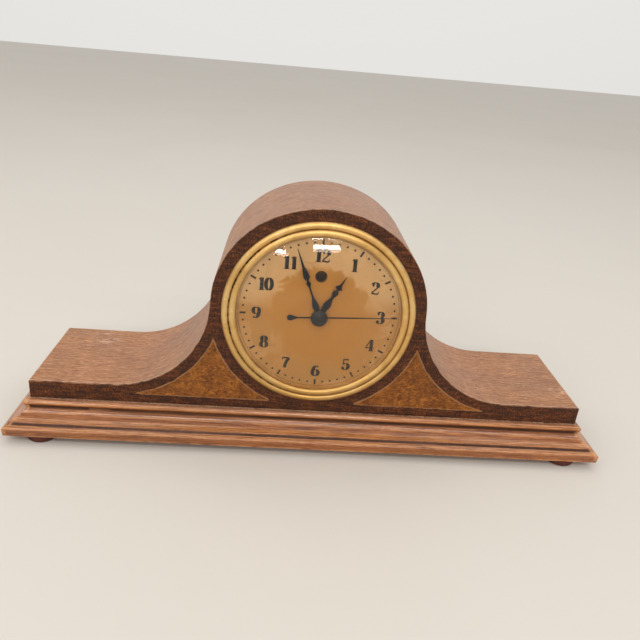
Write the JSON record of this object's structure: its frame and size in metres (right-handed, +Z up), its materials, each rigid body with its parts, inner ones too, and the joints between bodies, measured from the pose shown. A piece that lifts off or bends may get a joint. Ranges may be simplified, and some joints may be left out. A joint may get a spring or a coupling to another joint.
{
  "type": "tambour mantel clock",
  "caption": "Electric mantel clock in a tambour case: arched dial housing over low wings on a moulded base, with hour, minute and sweep second hands set from the back.",
  "frame": {"origin": "under the feet, in the middle of the whole clock's width and depth", "axes": "+Z up, +X to the right of someone facing the dial, the dial faces -Y"},
  "size_m": [0.39, 0.11, 0.1619],
  "materials": {
    "front_veneer": "dark figured veneer, satin lacquer",
    "inlay_veneer": "burl veneer, satin lacquer",
    "case_veneer": "straight-grained veneer, worn satin lacquer",
    "moulding": "solid wood, satin lacquer with worn edges",
    "board": "plain wood, unfinished inside",
    "foot": "red-brown rubber",
    "gilt": "lacquered brass with tarnish",
    "crystal": "clear convex glass",
    "dial": "aged gold paint with printed figures",
    "hands": "black paint, satin",
    "hub": "dark grey, glossy",
    "brass": "rolled brass, fine turned finish",
    "steel": "turned steel",
    "screw": "plated steel",
    "lamination": "stacked dark steel sheet",
    "coil": "varnished cotton tape",
    "bobbin": "pressed fibre",
    "capsule": "sealed copper-coloured can",
    "flag": "red enamel",
    "cover": "brown crackle paint on pressed steel",
    "knob": "dark moulded knob",
    "inlet": "black rubber"
  },
  "bodies": {
    "case": {"front_veneer": "front_veneer", "inlay_left": "inlay_veneer", "inlay_right": "inlay_veneer", "front_board": "board", "back_board": "case_veneer", "top_skin": "case_veneer", "wing_block_left": "board", "wing_block_right": "board", "front_glue_strip": "board", "rear_glue_strip": "board", "base_board": "board", "front_moulding": "moulding", "left_moulding": "moulding", "right_moulding": "moulding", "foot_front_left": "foot", "foot_front_right": "foot", "foot_rear_left": "foot", "foot_rear_right": "foot", "base_screws": "screw", "bezel": "gilt", "bezel_nuts": "screw", "crystal": "crystal", "glass_ring": "gilt", "dial_plate": "dial", "dial_posts": "brass", "post_screws": "screw", "front_plate": "brass", "back_plate": "brass", "plate_pillars": "brass", "pillar_screws": "screw", "centre_bush": "brass", "minute_stud": "steel", "rotor_capsule": "capsule", "stator_core": "lamination", "coil_bobbin": "bobbin", "coil_winding": "coil", "stator_posts": "brass", "stator_screws": "screw", "rear_cover": "cover", "cover_screws": "screw", "cord_inlet": "inlet"},
    "seconds_train": {"seconds_arbor": "steel", "seconds_wheel": "brass", "second_hand": "hands", "hub_cap": "hub"},
    "motor_pinion": {"rotor_pinion": "steel"},
    "third_train": {"third_arbor": "steel", "third_wheel": "brass"},
    "centre_train": {"centre_wheel": "brass"},
    "setting": {"set_arbor": "steel", "set_knob": "knob"},
    "minute_train": {"cannon_pinion": "steel", "clutch_spring": "steel", "minute_hand": "hands"},
    "motion_wheel": {"minute_wheel": "brass"},
    "hour_train": {"hour_wheel": "brass", "hour_hand": "hands"},
    "indicator": {"indicator_flag": "flag", "indicator_arbor": "steel"}
  },
  "joints": [
    {"name": "second_hand_turn", "type": "hinge", "parent": "case", "child": "seconds_train", "pos_m": [0, -0.0305, 0.0949], "axis": [0, 1, 0], "continuous": true},
    {"name": "motor_pinion_turn", "type": "hinge", "parent": "case", "child": "motor_pinion", "pos_m": [0, -0.0305, 0.0834], "axis": [0, 1, 0], "continuous": true},
    {"name": "third_arbor_turn", "type": "hinge", "parent": "case", "child": "third_train", "pos_m": [-0.01224, -0.0305, 0.0949], "axis": [0, 1, 0], "continuous": true},
    {"name": "centre_wheel_turn", "type": "hinge", "parent": "case", "child": "centre_train", "pos_m": [0, -0.0305, 0.0949], "axis": [0, 1, 0], "continuous": true},
    {"name": "set_knob_turn", "type": "hinge", "parent": "case", "child": "setting", "pos_m": [0.01386, -0.0305, 0.1029], "axis": [0, 1, 0], "continuous": true},
    {"name": "minute_hand_turn", "type": "hinge", "parent": "case", "child": "minute_train", "pos_m": [0, -0.0305, 0.0949], "axis": [0, 1, 0], "continuous": true},
    {"name": "minute_wheel_turn", "type": "hinge", "parent": "case", "child": "motion_wheel", "pos_m": [0.00693, -0.0305, 0.0989], "axis": [0, 1, 0], "continuous": true},
    {"name": "hour_hand_turn", "type": "hinge", "parent": "case", "child": "hour_train", "pos_m": [0, -0.0305, 0.0949], "axis": [0, 1, 0], "continuous": true},
    {"name": "indicator_swing", "type": "hinge", "parent": "case", "child": "indicator", "pos_m": [-0.014, -0.0375, 0.1089], "axis": [0, -1, 0], "range_deg": [0, 30]}
  ],
  "couplings": [
    {"joint": "motor_pinion_turn", "follows": "second_hand_turn", "ratio": -3.6},
    {"joint": "third_arbor_turn", "follows": "second_hand_turn", "ratio": -0.13333},
    {"joint": "centre_wheel_turn", "follows": "second_hand_turn", "ratio": 0.016667},
    {"joint": "minute_wheel_turn", "follows": "set_knob_turn", "ratio": -0.33333},
    {"joint": "minute_hand_turn", "follows": "set_knob_turn", "ratio": 1},
    {"joint": "hour_hand_turn", "follows": "set_knob_turn", "ratio": 0.083333}
  ]
}
